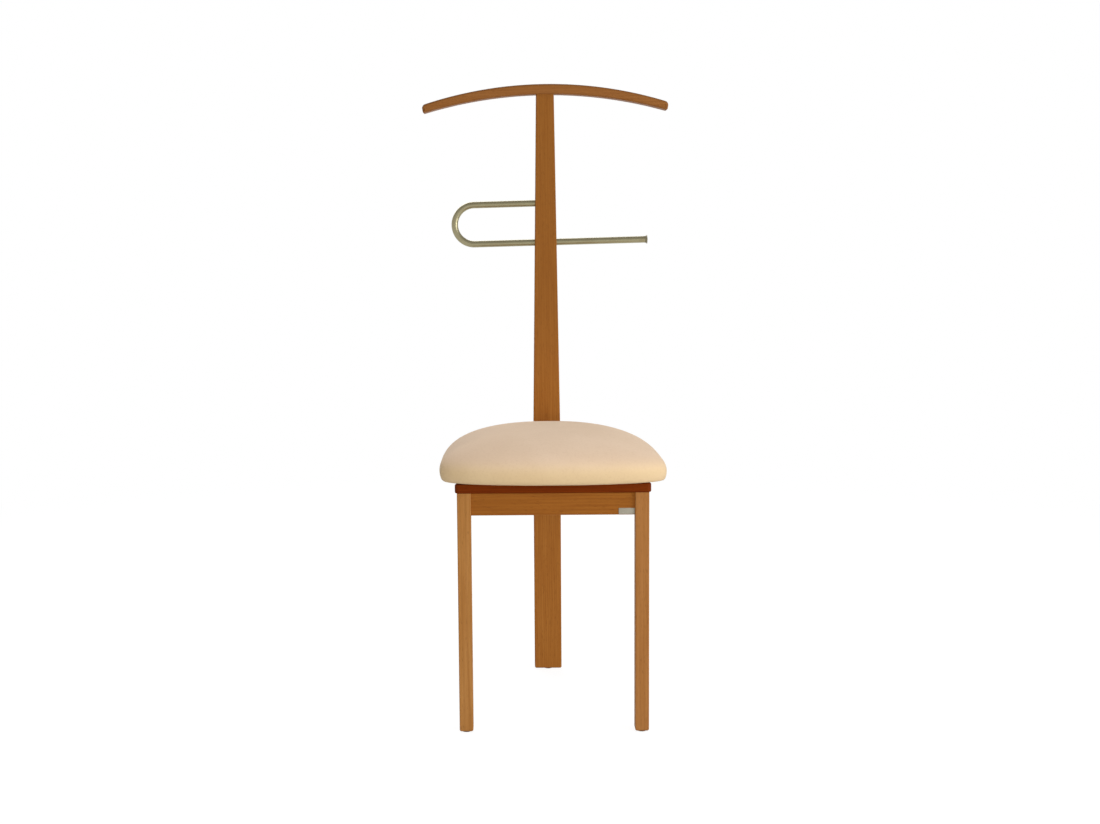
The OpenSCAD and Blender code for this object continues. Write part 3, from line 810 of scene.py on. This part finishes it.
def makePlate():
    form = plateForm
    railLow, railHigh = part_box("front_rail")
    bm = bmesh.new()
    bmesh.ops.create_cube(bm, size=1.0)
    bmesh.ops.scale(bm, vec=(form["width"], form["thickness"], form["height"]), verts=bm.verts)
    corners = [edge for edge in bm.edges
               if abs(edge.verts[0].co.y - edge.verts[1].co.y) > form["thickness"] / 2]
    bevelEdges(bm, corners, form["corner"], form["cornerSteps"])
    rims = [edge for edge in bm.edges if max(vertex.co.y for vertex in edge.verts) < 0]
    bevelEdges(bm, rims, form["thickness"] / 3, form["rimSteps"])
    middle = (railHigh.x - form["gap"] - form["width"] / 2, railLow.y - form["thickness"] / 2,
              railLow.z + form["lift"] + form["height"] / 2)
    bmesh.ops.translate(bm, vec=middle, verts=bm.verts)
    makePiece(bm, "bare_plate", metalMaterial("bare_plate"), smooth=False)
    print("bare plate made")


makePlate()

# floor, lamps and world
stageLook = {
    "half": 12.0,
    "squares": 8,
    "inner": 0.9,  # distances from the chair between which the floor turns plain white
    "outer": 2.6,
    "glow": 0.9,
    "lit": 0.22,  # what the floor near the chair shows of its light and shadow
    "paint": 0.6,  # what the floor throws back on the chair
}


def makeFloor():
    look = stageLook
    material, tree = newMaterial("floor")
    material.cycles.emission_sampling = "NONE"
    away = lengthOf(tree, objectPlace(tree))
    rays = addNode(tree, "ShaderNodeLightPath").outputs
    seen = mathOf(tree, "MAXIMUM", rays["Is Camera Ray"], rays["Is Glossy Ray"])
    seen = mathOf(tree, "MAXIMUM", seen, rays["Is Transmission Ray"])
    paint = addNode(tree, "ShaderNodeBsdfDiffuse", inputs={"Color": grey(look["paint"])})
    lit = addNode(tree, "ShaderNodeBsdfDiffuse", inputs={"Color": grey(look["lit"])})
    glow = addNode(tree, "ShaderNodeEmission", inputs={"Color": grey(look["glow"])})
    both = addNode(tree, "ShaderNodeAddShader", inputs={0: lit.outputs[0], 1: glow.outputs[0]})
    white = addNode(tree, "ShaderNodeEmission", inputs={"Color": grey(1.0)})
    near = addNode(tree, "ShaderNodeMixShader", inputs={
        0: rangeOf(tree, away, look["inner"], look["outer"]), 1: both.outputs[0], 2: white.outputs[0]})
    shader = addNode(tree, "ShaderNodeMixShader", inputs={
        0: seen, 1: paint.outputs[0], 2: near.outputs[0]})
    finishMaterial(tree, shader)
    bm = bmesh.new()
    bmesh.ops.create_grid(bm, x_segments=look["squares"], y_segments=look["squares"], size=look["half"])
    floor = addObject("floor", meshOf(bm, "floor", material))


lampSettings = {
    "side": {"place": (2.6, -1.6, 0.7), "aim": (0.0, -0.05, 0.4), "size": 1.8, "power": 47.0,
             "colour": (0.96, 0.98, 1.0)},
    "front": {"place": (0.0, -2.8, 0.35), "aim": (0.0, -0.05, 0.3), "size": 1.4, "power": 25.0,
              "colour": (1.0, 0.93, 0.74), "mirrored": False},
    "above": {"place": (0.9, -0.8, 3.4), "aim": (0.0, -0.05, 0.45), "size": 2.2, "power": 37.0,
              "colour": (0.94, 0.97, 1.0), "mirrored": False},
    "behind": {"place": (-0.7, 2.1, 2.2), "aim": (0.0, 0.0, 0.5), "size": 2.2, "power": 34.0,
               "colour": (0.97, 0.98, 1.0)},
}


def makeLamps():
    for name, setting in lampSettings.items():
        data = bpy.data.lights.new(name, "AREA")
        data.shape = "SQUARE"
        data.size = setting["size"]
        data.energy = setting["power"]
        data.color = setting["colour"]
        lamp = addObject(name, data)
        lamp.visible_camera = False
        lamp.visible_glossy = setting.get("mirrored", True)
        lamp.location = setting["place"]
        direction = Vector(setting["aim"]) - Vector(setting["place"])
        lamp.rotation_euler = direction.to_track_quat("-Z", "Y").to_euler()


worldLook = {
    "horizon": 0.45,
    "zenith": 0.18,
    "fade": (0.0, 0.8),  # heights of the sky between which it darkens
    "mirroredZenith": 0.4,
    "mirroredFade": (-0.1, 0.6),
}


def makeWorld():
    look = worldLook
    world = bpy.data.worlds.new("studio")
    bpy.context.scene.world = world
    world.use_nodes = True
    world.cycles.sampling_method = "NONE"
    tree = world.node_tree
    tree.nodes.clear()
    height = heightOf(tree, addNode(tree, "ShaderNodeTexCoord").outputs["Generated"])
    ambient = mixColour(tree, rangeOf(tree, height, *look["fade"]), grey(look["horizon"]),
                        grey(look["zenith"]))
    rays = addNode(tree, "ShaderNodeLightPath").outputs
    lowSky = rangeOf(tree, height, *look["mirroredFade"], 1.0, look["mirroredZenith"])
    mirrored = mathOf(tree, "MAXIMUM", rays["Is Glossy Ray"], rays["Is Transmission Ray"])
    seen = mathOf(tree, "MAXIMUM", rays["Is Camera Ray"], mathOf(tree, "MULTIPLY", mirrored, lowSky))
    colour = mixColour(tree, seen, ambient, grey(1.0))
    back = addNode(tree, "ShaderNodeBackground", inputs={"Color": colour, "Strength": 1.0})
    addNode(tree, "ShaderNodeOutputWorld", inputs={"Surface": back.outputs[0]})


makeFloor()
makeLamps()
makeWorld()
bpy.context.scene.view_settings.view_transform = "Standard"
print("floor, lamps and world made")
